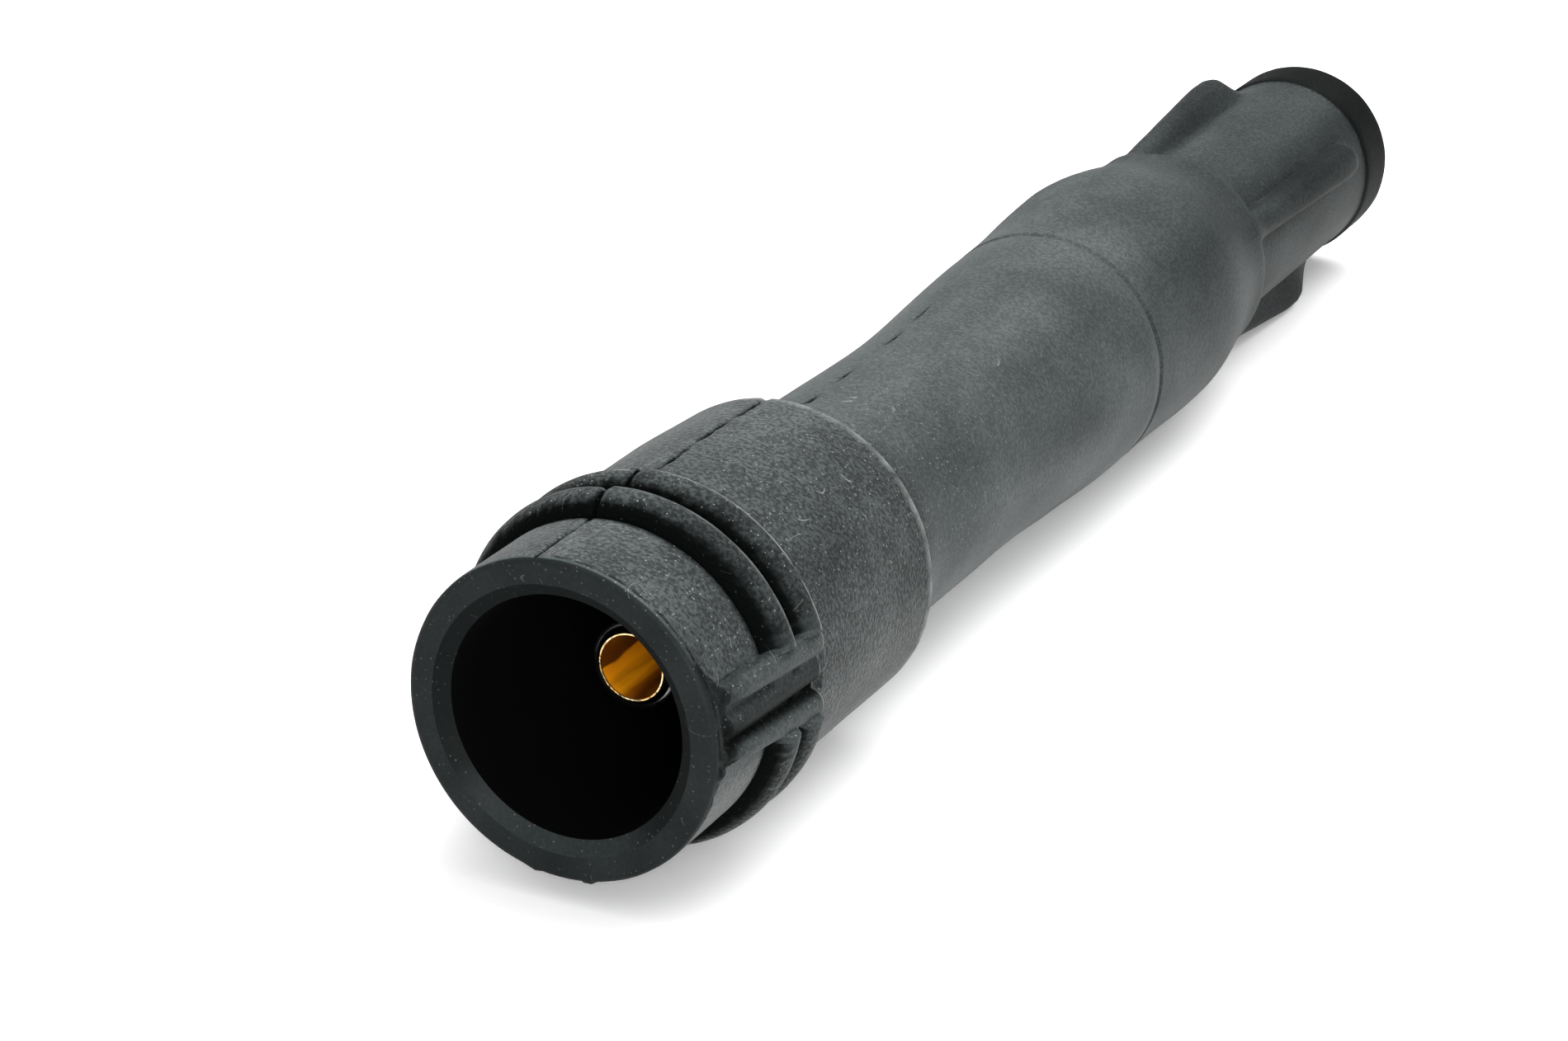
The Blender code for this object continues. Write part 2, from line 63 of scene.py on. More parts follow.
# Sizes are in millimetres. A place is how far from the mouth something lies along the boot's axis,
# and a turn how far round it, in degrees from the top towards the air vent.
MOUTH_RADIUS = 12.0
FACE_OUTER_RADIUS = 11.55
FACE_INNER_RADIUS = 10.1
FACE_ROUND = 0.45
RIB_FOOT = 8.0
RIB_RADIUS = 13.55
RIB_FLOOR = 11.4
RIB_LEAN = 0.42
FIRST_RIB_END = 11.2
SECOND_RIB_START = 12.1
EDGE_DROP = 0.35
MAIN_START = 15.0
MAIN_END = 33.95
MAIN_RADIUS = 12.5
MAIN_CROWN = 0.12
STEP_RADIUS = 10.75
STEP_END = 35.7
NECK_START = 42.0
NECK_RADIUS = 10.1
WAIST_PLACE = 58.0
WAIST_DROP = 0.1
LINE_PLACE = 84.75
LINE_RISE = 1.0
LINE_BED_RISE = 0.82
SWELL_CREST = 101.25
SWELL_RADIUS = 11.75
TAIL_END = 113.75
TAIL_RADIUS = 10.3
HUB_START = 118.25
HUB_RADIUS = 8.8
END_START = 148.25
END_RADIUS = 9.1
END_ROUND = 1.3
BOOT_LENGTH = 155.25
PLUG_BORE_RADIUS = 5.2
PLUG_BORE_START = 117.25
LEAD_IN = 0.9
CORE_BORE_RADIUS = 6.5
GROOVE_RADIUS = 7.4
GROOVE_HALF = 1.8
CORE_RING_PLACES = (52.0, 84.0)
MOUTH_BORE_RADIUS = 9.05
MOUTH_BORE_END = 30.0
CHAMFER_DEPTH = 0.85
outline = [(FACE_INNER_RADIUS, 0.0)]


def between(start, end, share):
    """The value at a share of the way from a start to an end."""
    return start + (end - start) * share


def run_to(radius, place, count, crown=0.0):
    """Carries the outline on in a straight run that may bulge outward in its middle."""
    from_radius, from_place = outline[-1]
    for i in range(1, count + 1):
        share = i / count
        bulge = crown * math.sin(math.pi * share)
        outline.append((between(from_radius, radius, share) + bulge, between(from_place, place, share)))


def sweep_to(radius, place, count):
    """Carries the outline on in an S-shaped run that leaves and arrives parallel to the axis."""
    from_radius, from_place = outline[-1]
    for i in range(1, count + 1):
        share = i / count
        rise = (1 - math.cos(math.pi * share)) / 2
        outline.append((between(from_radius, radius, rise), between(from_place, place, share)))


def round_to(radius, place, count, inward):
    """Carries the outline round a quarter-round edge. Turned inward, it leaves along the axis."""
    from_radius, from_place = outline[-1]
    for i in range(1, count + 1):
        turn = math.pi / 2 * i / count
        early, late = math.sin(turn), 1 - math.cos(turn)
        across, along = (late, early) if inward else (early, late)
        outline.append((between(from_radius, radius, across), between(from_place, place, along)))


def bead_to(radius, place, crest, count, lean):
    """Carries the outline over a half-round sealing rib whose crest leans back."""
    from_radius, from_place = outline[-1]
    middle, half = (from_place + place) / 2, (place - from_place) / 2
    for i in range(1, count + 1):
        turn = math.pi * i / count
        root = from_radius + (radius - from_radius) * i / count
        height = math.sin(turn) ** 0.8
        along = middle - half * math.cos(turn) + lean * math.sin(turn)
        outline.append((root + (crest - root) * height, along))


run_to(FACE_OUTER_RADIUS, 0.0, 6)
round_to(MOUTH_RADIUS, FACE_ROUND, 5, inward=False)
run_to(MOUTH_RADIUS, 2.0, 14)
run_to(MOUTH_RADIUS, RIB_FOOT, 26)
run_to(MOUTH_RADIUS - EDGE_DROP, RIB_FOOT + EDGE_DROP, 3)
bead_to(RIB_FLOOR, FIRST_RIB_END, RIB_RADIUS, 16, RIB_LEAN)
run_to(RIB_FLOOR, SECOND_RIB_START, 3)
bead_to(MAIN_RADIUS - 0.1, MAIN_START, RIB_RADIUS, 16, RIB_LEAN)
run_to(MAIN_RADIUS, MAIN_START + 0.4, 3)
run_to(MAIN_RADIUS, MAIN_END, 22, crown=MAIN_CROWN)
run_to(MAIN_RADIUS - EDGE_DROP, MAIN_END + 0.25, 2)
run_to(STEP_RADIUS, STEP_END, 4)
sweep_to(NECK_RADIUS, NECK_START, 8)
run_to(NECK_RADIUS - WAIST_DROP, WAIST_PLACE, 10)
sweep_to(NECK_RADIUS + LINE_RISE, LINE_PLACE - 0.4, 20)
run_to(NECK_RADIUS + LINE_BED_RISE, LINE_PLACE - 0.1, 2)
run_to(NECK_RADIUS + LINE_BED_RISE, LINE_PLACE + 0.1, 1)
run_to(NECK_RADIUS + LINE_RISE + 0.05, LINE_PLACE + 0.4, 2)
sweep_to(SWELL_RADIUS, SWELL_CREST, 16)
sweep_to(TAIL_RADIUS, TAIL_END, 12)
sweep_to(HUB_RADIUS, HUB_START, 8)
run_to(HUB_RADIUS, END_START - 0.3, 34)
sweep_to(END_RADIUS, END_START + 0.6, 4)
run_to(END_RADIUS, BOOT_LENGTH - END_ROUND, 5)
round_to(END_RADIUS - END_ROUND, BOOT_LENGTH, 7, inward=True)
outer_rows = len(outline)
run_to(PLUG_BORE_RADIUS + LEAD_IN, BOOT_LENGTH, 2)
run_to(PLUG_BORE_RADIUS, BOOT_LENGTH - LEAD_IN, 2)
run_to(PLUG_BORE_RADIUS, PLUG_BORE_START, 8)
run_to(CORE_BORE_RADIUS, PLUG_BORE_START, 1)
for ring in reversed(CORE_RING_PLACES):
    run_to(CORE_BORE_RADIUS, ring + GROOVE_HALF, 2)
    run_to(GROOVE_RADIUS, ring + GROOVE_HALF, 1)
    run_to(GROOVE_RADIUS, ring - GROOVE_HALF, 1)
    run_to(CORE_BORE_RADIUS, ring - GROOVE_HALF, 1)
run_to(CORE_BORE_RADIUS, MOUTH_BORE_END, 3)
run_to(MOUTH_BORE_RADIUS, MOUTH_BORE_END, 1)
run_to(MOUTH_BORE_RADIUS, CHAMFER_DEPTH, 10)
chamfer_row = len(outline)
run_to(FACE_INNER_RADIUS - 0.03, 0.03, 3)

FIN_TURNS = (-17.5, 72.5, 162.5, 252.5)
FIN_RADIUS = 12.0
FIN_THICKNESS = 3.2
FIN_MIDDLE_RADIUS = 10.5
FIN_FILLET = 1.3
FIN_START = 113.45
FIN_CREST_START = 136.15
FIN_CREST_END = 138.95
FIN_END = 144.55

# Columns of points stand close together only where there is detail: middle turn, reach and step
COARSE_STEP = 2.6
fine_bands = [(0.8, 3.8, 0.25), (351.0, 8.0, 0.7), (180.0, 2.4, 0.3), (93.0, 25.0, 0.5)]
fine_bands += [(turn % 360.0, 12.0, 1.2) for turn in FIN_TURNS]


def turn_from(turn, middle):
    """How many degrees a turn lies past a middle turn, the short way round."""
    return (turn - middle + 180.0) % 360.0 - 180.0


def column_step(turn):
    """How far round the next column stands, in degrees."""
    steps = [COARSE_STEP]
    for middle, reach, step in fine_bands:
        if abs(turn_from(turn, middle)) <= reach:
            steps.append(step)
    return min(steps)


columns = [0.0]
while columns[-1] + column_step(columns[-1]) < 360.0:
    columns.append(columns[-1] + column_step(columns[-1]))


def fade(value, start, end):
    """Zero before the start, one past the end, and a smooth rise between them."""
    share = min(max((value - start) / (end - start), 0.0), 1.0)
    return share * share * (3.0 - 2.0 * share)


def hump(value, middle, reach):
    """One at the middle, falling off smoothly to nothing on both sides."""
    return math.exp(-(((value - middle) / reach) ** 2))


def uneven(first, second, layer):
    """Smooth unevenness between about -1 and 1, the same on each run."""
    return noise.noise(Vector((first, second, layer)))


def blend_over(one, other, reach):
    """The larger of two radii, with a fillet where they meet."""
    overlap = max(reach - abs(one - other), 0.0) / reach
    return max(one, other) + overlap * overlap * reach / 4


def arc(turn, middle, radius=MOUTH_RADIUS):
    """The distance round the boot from a middle turn, signed, in millimetres."""
    return math.radians(turn_from(turn, middle)) * radius


def ridge_height(across, past_end, half_width, crest):
    """The radius of a round-backed ridge at a distance from its middle line and past its end."""
    reach = math.hypot(across, past_end)
    if reach < half_width:
        return crest - half_width + math.sqrt(half_width**2 - reach**2)
    return crest - half_width - (reach - half_width) * 6.0


# Each rail or ridge: its turn at the mouth, degrees of slant per millimetre, half its width at
# the mouth, how much wider it gets per millimetre, and its crest
UPPER_RAIL = (79.3, 0.37, 0.78, 0.036, 13.05)
LOWER_RAIL = (98.9, 0.61, 0.55, 0.036, 13.0)
MIDDLE_RIDGE = (90.3, 0.32, 1.25, 0.0, 12.5)
RAIL_SETBACK = 0.8
RAIL_FRONT_RADIUS = 12.35
RAIL_FILLET = 0.12
VENT_FROM_TURN = 62.0
VENT_TO_TURN = 122.0
VENT_START = 1.5
VENT_BED = 11.85
RAISED_BED = 0.45
PIT_PLACE = 1.5
PIT_TURN = 95.5
PIT_DEPTH = 0.6
SLOT_PLACE = 14.2
SLOT_TURN = 100.4
SLOT_DEPTH = 1.1
SLOT_HALF_WIDTH = 0.16
SLOT_HALF_LENGTH = 0.45
BUMP_PLACE = 0.95
BUMP_TURN = 105.5
BUMP_HEIGHT = 0.32


def rail_turn(rail, place):
    """The turn of a rail's middle line at a place along the boot."""
    return rail[0] + rail[1] * place


def between_rails(turn, place, above, below):
    """True between the rails' slanted middle lines, widened by so many degrees above and below."""
    return rail_turn(UPPER_RAIL, place) - above < turn < rail_turn(LOWER_RAIL, place) + below


def vented(turn, place, radius):
    """The boot's radius with its air vent: two slanted rails and a ridge, with the ribs cut away between."""
    if place > MAIN_START + 0.3 or not VENT_FROM_TURN < turn < VENT_TO_TURN:
        return radius
    if place > VENT_START and between_rails(turn, place, 3.0, 2.4):
        above_ridge = fade(rail_turn(MIDDLE_RIDGE, place) - turn, 0.0, 3.0)
        radius = min(radius, VENT_BED + RAISED_BED * above_ridge)
    for rail in (UPPER_RAIL, LOWER_RAIL, MIDDLE_RIDGE):
        half_width, flare, crest = rail[2:]
        half = half_width + flare * place
        past_end = max(RAIL_SETBACK + half - place, place - MAIN_START + 0.2, 0.0)
        top = between(RAIL_FRONT_RADIUS, crest, fade(place, 0.4, 4.5))
        height = ridge_height(arc(turn, rail_turn(rail, place)), past_end, half, top)
        radius = blend_over(radius, height, RAIL_FILLET)
    to_pit = math.hypot(arc(turn, PIT_TURN), place - PIT_PLACE)
    radius -= PIT_DEPTH * (1.0 - fade(to_pit, 0.12, 0.24))
    past_slot = max(abs(arc(turn, SLOT_TURN)) - SLOT_HALF_WIDTH, abs(place - SLOT_PLACE) - SLOT_HALF_LENGTH)
    radius -= SLOT_DEPTH * (1.0 - fade(past_slot, 0.0, 0.12))
    to_bump = math.hypot(arc(turn, BUMP_TURN), place - BUMP_PLACE)
    return blend_over(radius, MOUTH_RADIUS + BUMP_HEIGHT - to_bump * to_bump * 0.8, 0.1)


def finned(turn, place, radius):
    """The boot's radius with its four centring fins."""
    if not FIN_START - 3.0 < place < FIN_END:
        return radius
    rise = min((place - FIN_START) / (FIN_CREST_START - FIN_START), 1.0)
    crest = between(TAIL_RADIUS - 0.3, FIN_RADIUS, rise)
    if place > FIN_CREST_END:
        crest -= (FIN_RADIUS - HUB_RADIUS) * (place - FIN_CREST_END) / (FIN_END - FIN_CREST_END)
    for fin_turn in FIN_TURNS:
        across = arc(turn, fin_turn, FIN_MIDDLE_RADIUS)
        if abs(across) < FIN_THICKNESS:
            radius = blend_over(radius, ridge_height(across, 0.0, FIN_THICKNESS / 2, crest), FIN_FILLET)
    return radius


# The parting line starts a little left of the top, shifts right at the ribs and drifts left
# along the neck. Its crack is open in some stretches and closed in others.
PARTING_TURN = -1.0
PARTING_SHIFT = 2.6
PARTING_DRIFT = 0.4
PARTING_LIMIT = -16.0
CRACK_DEPTH = 0.4
NECK_CRACK_WIDTH = 0.26
NICK_DEPTH = 1.2
NICK_DISH = 0.2
UNDER_TURN = 180.0
UNDER_DEPTH = 0.15
RIB_STEP = 0.26


def on_ribs(place):
    """True along the two sealing ribs."""
    return RIB_FOOT + 0.5 < place < MAIN_START - 0.4


def crack_at(turn, place):
    """How deep the parting line's broken crack cuts in, which parts the ribs altogether."""
    wander = uneven(place * 0.35, 0.0, 3.0) * 0.35
    shifted = PARTING_TURN + PARTING_SHIFT * min(max((place - 9.0) / 5.0, 0.0), 1.0)
    line_turn = shifted - PARTING_DRIFT * max(place - NECK_START + 5.0, 0.0)
    across = arc(turn, max(line_turn, PARTING_LIMIT) + wander)
    strength = min(max(0.55 + uneven(place * 0.55, 7.0, 0.0) * 1.5, 0.28), 0.9)
    width = 0.08 + 0.12 * strength
    if place > MAIN_END:
        strength = min(max(0.3 + uneven(place * 0.3, 2.0, 0.0) * 2.4, 0.06), 0.85)
        strength *= 1.0 - 0.85 * fade(place, WAIST_PLACE, LINE_PLACE - 12.0)
        width = NECK_CRACK_WIDTH
    depth = CRACK_DEPTH * strength * hump(across, 0.0, width)
    if on_ribs(place):
        nick = NICK_DEPTH * (1.0 - fade(abs(across), 0.06, 0.18))
        depth = nick + NICK_DISH * (1.0 - fade(abs(across), 0.15, 0.6))
    return depth + UNDER_DEPTH * strength * hump(arc(turn, UNDER_TURN), 0.0, 0.12)


def rib_step(turn, place):
    """How far the mould's left half sank the ribs beside the parting line."""
    across = arc(turn, 0.5)
    if across > 0.0 or not on_ribs(place):
        return 0.0
    return RIB_STEP * math.exp(across / (1.0 if place < FIRST_RIB_END + 0.4 else 2.6))


# How grey dust and handling have turned the skin, as shares of the full grey, with painted light and shade
# mixed into the same grey
WORN_SHARE = 0.86
NECK_GAIN = 0.12
TAIL_LOSS = 0.46
PATCHINESS = 0.42
FLANK_TURN = 64.0
FLANK_PAINTED_SHADE = 0.36
TOP_TURN = 345.0
TOP_PAINTED_LIGHT = 0.16
RIB_CREST_SHARE = 0.68
VENT_SHARE = 0.62
VENT_LEAST = 0.03
APRON_DARKENING = 0.72
FACE_EDGE_PLACE = 0.62
FACE_EDGE_PAINTED_SHADOW = 0.9
FIN_FLANK_PAINTED_SHADE = 0.5
END_SHADED_SHARE = 0.12


def wear_and_shade_on_ribs(turn, place, radius, wear_and_shade):
    """The wear along the ribs, grey on their torn crests, with painted shade, black, on their fronts and
    between them.
    """
    torn = uneven(turn / 2.2, place * 0.8, 9.0) * 0.28
    on_crest = fade(radius + torn, 12.75, 13.42) * RIB_CREST_SHARE
    before = 1.0 - fade(place, RIB_FOOT - 0.7, RIB_FOOT + 0.2)
    behind = fade(place, MAIN_START - 0.2, MAIN_START + 0.15)
    return wear_and_shade * max(on_crest, before, behind)


def wear_and_shade_in_vent(turn, place, radius):
    """The vent's grey: worn grey on the rails, less so above the ridge, painted shade in the recessed bed and
    the pit, and a painted highlight ring round the pit.
    """
    above_ridge = fade(rail_turn(MIDDLE_RIDGE, place) - turn, -2.0, 2.5)
    on_rail = fade(radius, VENT_BED + 0.4, VENT_BED + 1.1)
    wear_and_shade = VENT_LEAST + VENT_SHARE * max(on_rail, 0.5 * above_ridge)
    to_pit = math.hypot(arc(turn, PIT_TURN), place - PIT_PLACE)
    # Painted shade inside the pit, and a painted highlight ring round its rim.
    return wear_and_shade * fade(to_pit, 0.2, 0.34) + 0.4 * hump(to_pit, 0.34, 0.09)


def wear_and_shade_at(turn, place, radius):
    """How grey the skin is from wear and dust, and from light and shade painted into it: painted shade keeps
    the grooves, the ribs' fronts and the plug end black.
    """
    wear_and_shade = WORN_SHARE + NECK_GAIN * fade(place, MAIN_END - 2.0, NECK_START)
    wear_and_shade -= TAIL_LOSS * fade(place, LINE_PLACE - 12.0, HUB_START)
    wear_and_shade *= 1.0 + PATCHINESS * uneven(turn / 26.0, place / 10.0, 4.0)
    # Painted shade: darker on the right flank, round the vent's side.
    wear_and_shade *= 1.0 - FLANK_PAINTED_SHADE * hump(turn, FLANK_TURN, 38.0)
    # Painted light: lighter along the top, a little to the left.
    wear_and_shade *= 1.0 + TOP_PAINTED_LIGHT * hump(turn_from(turn, TOP_TURN), 0.0, 30.0)
    if RIB_FOOT - 0.7 < place < MAIN_START + 0.15:
        wear_and_shade = wear_and_shade_on_ribs(turn, place, radius, wear_and_shade)
    if 1.2 < place < MAIN_START and between_rails(turn, place, 5.0, 5.0):
        wear_and_shade = wear_and_shade_in_vent(turn, place, radius)
    ragged = uneven(turn / 5.0, 0.0, 9.0) * 0.35
    apron = 1.9 * fade(turn, 62.0, 80.0) * (1.0 - 0.7 * fade(turn, 100.0, 116.0)) + ragged
    # Darker in a ragged apron in front of the vent's rails.
    if 1.0 < turn < 150.0 and place < 2.6:
        wear_and_shade *= 1.0 - APRON_DARKENING * (1.0 - fade(place, apron, apron + 0.3)) * fade(turn, 60.0, 68.0)
        # Painted shadow: a dark line along the face's outer edge, on the right half.
        wear_and_shade *= 1.0 - FACE_EDGE_PAINTED_SHADOW * hump(place, FACE_EDGE_PLACE, 0.13) * fade(0.5 + 2.0 * ragged, 0.2, 0.6)
    # Painted shade: darker along both flanks of each fin.
    on_fins = fade(place, FIN_START + 2.0, FIN_START + 12.0) * (1.0 - fade(place, FIN_CREST_END, FIN_END))
    for fin_turn in FIN_TURNS:
        on_flank = hump(abs(arc(turn, fin_turn, FIN_MIDDLE_RADIUS)), 1.1, 1.3)
        wear_and_shade *= 1.0 - FIN_FLANK_PAINTED_SHADE * on_fins * on_flank
    # Painted shade: the plug end's rounded bead is kept nearly black.
    if place > END_START:
        wear_and_shade *= END_SHADED_SHARE
    return wear_and_shade


def dust_at(place, wear_and_shade):
    """How much loose dust lies on the skin: most near the mouth, and hardly any where it is still black."""
    return (0.1 + 0.9 * min(wear_and_shade / 0.5, 1.0)) * (1.0 - 0.8 * fade(place, MAIN_END, LINE_PLACE - 8.0))


# The pale lines that the joints of the mould's rings left: place, half width and how strong
FLASH_LINES = (
    (10.6, 0.17, 0.85),
    (14.5, 0.17, 0.75),
    (MAIN_START + 0.15, 0.2, 0.7),
    (MAIN_END, 0.24, 0.55),
)


def flash_at(turn, place):
    """How much of a pale, ragged line shows where the mould's rings met, but for the vent."""
    if place < MAIN_START - 0.3 and between_rails(turn, place, 4.0, 4.0):
        return 0.0
    ragged = 0.7 + uneven(turn / 6.0, place, 5.0) * 1.2
    shown = sum(level * max(0.0, 1.0 - abs(place - line) / reach) for line, reach, level in FLASH_LINES)
    return shown * min(max(ragged, 0.0), 1.0)


# The soft neck sags off the straight axis, to the right and down
SAG = 0.62
SAG_START = 26.0
SAG_RIGHT = 0.68
SAG_DOWN = 0.735
sag_right = SAG_RIGHT * math.cos(ROLL) - SAG_DOWN * math.sin(ROLL)
sag_down = SAG_DOWN * math.cos(ROLL) + SAG_RIGHT * math.sin(ROLL)


def sag_at(place):
    """How far the neck sags at a place."""
    share = (place - SAG_START) / (SWELL_CREST - SAG_START)
    return SAG * math.sin(math.pi * share) if 0.0 < share < 1.0 else 0.0


# Torn flash at the mouth's lower edge: turn, how far it stands out, and half its width
NUBS = ((178.5, 0.45, 0.42), (199.0, 0.22, 0.6))
FACE_WORN = 0.19
FACE_DUST = 0.3

boot_mesh = bmesh.new()
row_of = boot_mesh.verts.layers.float.new("row")
flash_of = boot_mesh.verts.layers.float.new("flash")
wear_and_shade_of = boot_mesh.verts.layers.float.new("wear_and_shade")
grainy_of = boot_mesh.verts.layers.float.new("grainy")
dusty_of = boot_mesh.verts.layers.float.new("dusty")
row_points = [boot_mesh.verts.new((0.0, radius, -place)) for radius, place in outline]
row_edges = [boot_mesh.edges.new((row_points[i - 1], row_points[i])) for i in range(len(row_points))]
for row, point in enumerate(row_points):
    point[row_of] = row
bmesh.ops.spin(
    boot_mesh, geom=row_points + row_edges, cent=(0, 0, 0), axis=(0, 0, -1), dvec=(0, 0, 0),
    angle=2 * math.pi, steps=len(columns), use_merge=True, use_normal_flip=False, use_duplicate=False,
)
for vert in boot_mesh.verts:
    radius, place = math.hypot(vert.co.x, vert.co.y), -vert.co.z
    column = round(math.degrees(math.atan2(vert.co.x, vert.co.y)) / 360.0 * len(columns)) % len(columns)
    turn = columns[column]
    outer = round(vert[row_of]) < outer_rows
    vert[wear_and_shade_of] = FACE_WORN + 0.08 * uneven(turn / 20.0, place, 2.0)
    vert[dusty_of] = FACE_DUST
    # Painted light: the mouth's chamfer is paler on its lower side, which faces up.
    if round(vert[row_of]) >= chamfer_row - 1:
        vert[wear_and_shade_of] = 0.08 + 0.2 * fade(-math.cos(math.radians(turn - 12.0)), 0.55, 0.9)
    if outer and place > 0.3:
        radius = finned(turn, place, vented(turn, place, radius)) - rib_step(turn, place)
        crack = crack_at(turn, place)
        # Painted shade: the skin is darker down in the parting line's crack.
        vert[wear_and_shade_of] = wear_and_shade_at(turn, place, radius) * (1.0 - fade(crack, 0.03, 0.22))
        vert[dusty_of] = dust_at(place, vert[wear_and_shade_of])
        vert[grainy_of] = (1.0 - 0.55 * fade(place, MAIN_END, NECK_START)) * fade(place, 0.3, 0.6)
        if 74.0 < turn < 112.0 and place < MAIN_START and radius > VENT_BED + 0.1:
            vert[grainy_of] *= 0.5
        vert[flash_of] = flash_at(turn, place)
        radius += uneven(turn / 14.0, place / 5.0, 1.0) * 0.035 - crack
    if outer and place < FACE_ROUND and radius > FACE_OUTER_RADIUS - 0.15:
        for nub_turn, reach, half_width in NUBS:
            radius += reach * max(0.0, 1.0 - abs(arc(turn, nub_turn)) / half_width)
    angle = math.radians(turn)
    vert.co = Vector((math.sin(angle) * radius, math.cos(angle) * radius, -place))
    if outer:
        vert.co.x += sag_at(place) * sag_right
        vert.co.y -= sag_at(place) * sag_down
bmesh.ops.scale(boot_mesh, verts=boot_mesh.verts, vec=(MM, MM, MM))
bmesh.ops.recalc_face_normals(boot_mesh, faces=boot_mesh.faces)
bmesh.ops.transform(boot_mesh, verts=boot_mesh.verts, matrix=lay)


def piece(name, shape, finish, replaced):
    """Turns a finished bmesh into a piece of the cap that stands for a node of the frame."""
    mesh = bpy.data.meshes.new(name)
    shape.to_mesh(mesh)
    shape.free()
    mesh.shade_smooth()
    mesh.set_sharp_from_angle(angle=math.radians(32))
    mesh.materials.append(finish)
    item = bpy.data.objects.new(name, mesh)
    bpy.context.scene.collection.objects.link(item)
    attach(item, "root")
    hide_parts(replaced)
    return item


def add(tree, kind, values, **settings):
    """Adds a shader node, with its settings, and each input set to a value or linked to an output."""
    made = tree.nodes.new(kind)
    for name, setting in settings.items():
        setattr(made, name, setting)
    for name, value in values.items():
        if isinstance(value, bpy.types.NodeSocket):
            tree.links.new(value, made.inputs[name])
        else:
            made.inputs[name].default_value = value
    return made


def worked(tree, operation, *values):
    """One step of arithmetic on values that change over the surface."""
    return add(tree, "ShaderNodeMath", dict(enumerate(values)), operation=operation).outputs[0]


def ranged(tree, value, low, high, start=0.0, end=1.0):
    """A value carried over from the range between start and end to the one between low and high."""
    ends = {"From Min": start, "From Max": end, "To Min": low, "To Max": high}
    return add(tree, "ShaderNodeMapRange", {"Value": value, **ends}).outputs[0]


def mixed(tree, share, first, second):
    """The colour at a share of the way from a first one to a second, each a colour or a node's output."""
    ends = [end if isinstance(end, bpy.types.NodeSocket) else (*end, 1.0) for end in (first, second)]
    return add(tree, "ShaderNodeMix", {"Factor": share, 6: ends[0], 7: ends[1]}, data_type="RGBA").outputs[2]


def banded(tree, value, stops):
    """The colour that a row of stops, (share, colour), gives for a value."""
    ramp = add(tree, "ShaderNodeValToRGB", {"Fac": value})
    while len(ramp.color_ramp.elements) < len(stops):
        ramp.color_ramp.elements.new(0.5)
    for stop, (share, colour) in zip(ramp.color_ramp.elements, stops):
        stop.position = share
        stop.color = (*colour, 1.0)
    return ramp.outputs["Color"]


def mottled(tree, place, per_metre, detail, roughness=0.5):
    """Cloudy noise with so many features per metre."""
    values = {"Vector": place, "Scale": per_metre, "Detail": detail, "Roughness": roughness}
    return add(tree, "ShaderNodeTexNoise", values).outputs["Fac"]


def painted(tree, name):
    """The value that the piece's own points carry under a name."""
    return add(tree, "ShaderNodeAttribute", {}, attribute_name=name).outputs["Fac"]


def facing_up(tree):
    """How far the surface faces up: 1 on top, 0 on an upright side and -1 underneath."""
    normal = add(tree, "ShaderNodeNewGeometry", {}).outputs["Normal"]
    return add(tree, "ShaderNodeSeparateXYZ", {"Vector": normal}).outputs["Z"]


def bumped(tree, height, strength, distance):
    """The normal of a surface with this fine relief."""
    values = {"Height": height, "Strength": strength, "Distance": distance}
    return add(tree, "ShaderNodeBump", values).outputs[0]


def group_with(name, inputs, outputs):
    """Starts a node group with named inputs and outputs, given as name: (kind, default)."""
    tree = bpy.data.node_groups.new(name, "ShaderNodeTree")
    for direction, sockets in (("INPUT", inputs), ("OUTPUT", outputs)):
        for socket, (kind, default) in sockets.items():
            made = tree.interface.new_socket(name=socket, in_out=direction, socket_type=kind)
            made.default_value = default
    return tree, tree.nodes.new("NodeGroupInput").outputs, tree.nodes.new("NodeGroupOutput").inputs


NUMBER = "NodeSocketFloat"
VECTOR = "NodeSocketVector"

# Moulded grain: fine pits and a soft mottle
grain_values = {
    "Place": (VECTOR, (0.0, 0.0, 0.0)),
    "Pits per metre": (NUMBER, 3200.0),
    "Mottle per metre": (NUMBER, 380.0),
}
grain, grain_in, grain_out = group_with(
    "moulded_grain", grain_values, {"Height": (NUMBER, 0.0), "Mottle": (NUMBER, 0.0)}
)
pits = mottled(grain, grain_in["Place"], grain_in["Pits per metre"], 2.0, 0.6)
broad = mottled(grain, grain_in["Place"], grain_in["Mottle per metre"], 3.0, 0.55)
both = worked(grain, "MULTIPLY_ADD", broad, 0.22, worked(grain, "MULTIPLY", pits, 0.78))
grain.links.new(pits, grain_out["Height"])
grain.links.new(both, grain_out["Mottle"])

# Settled dust: pale specks and a few short fibres, thickest on what faces up. A fibre runs where
# one slow noise crosses its middle, in the few patches where another is high.
FIBRE_WIDTH = 0.003
FIBRE_PATCH = 0.66
dust_values = {
    "Place": (VECTOR, (0.0, 0.0, 0.0)),
    "Specks per metre": (NUMBER, 2500.0),
    "Speck size": (NUMBER, 0.2),
    "Amount": (NUMBER, 1.0),
}
dust, dust_in, dust_out = group_with("settled_dust", dust_values, {"Mask": (NUMBER, 0.0)})
cells = add(dust, "ShaderNodeTexVoronoi", {"Vector": dust_in["Place"], "Scale": dust_in["Specks per metre"]})
chance = add(dust, "ShaderNodeSeparateColor", {"Color": cells.outputs["Color"]}).outputs["Red"]
speck_size = worked(dust, "MULTIPLY", chance, dust_in["Speck size"])
speck = worked(dust, "LESS_THAN", cells.outputs["Distance"], speck_size)
from_middle = worked(dust, "SUBTRACT", mottled(dust, dust_in["Place"], 300.0, 0.0), 0.5)
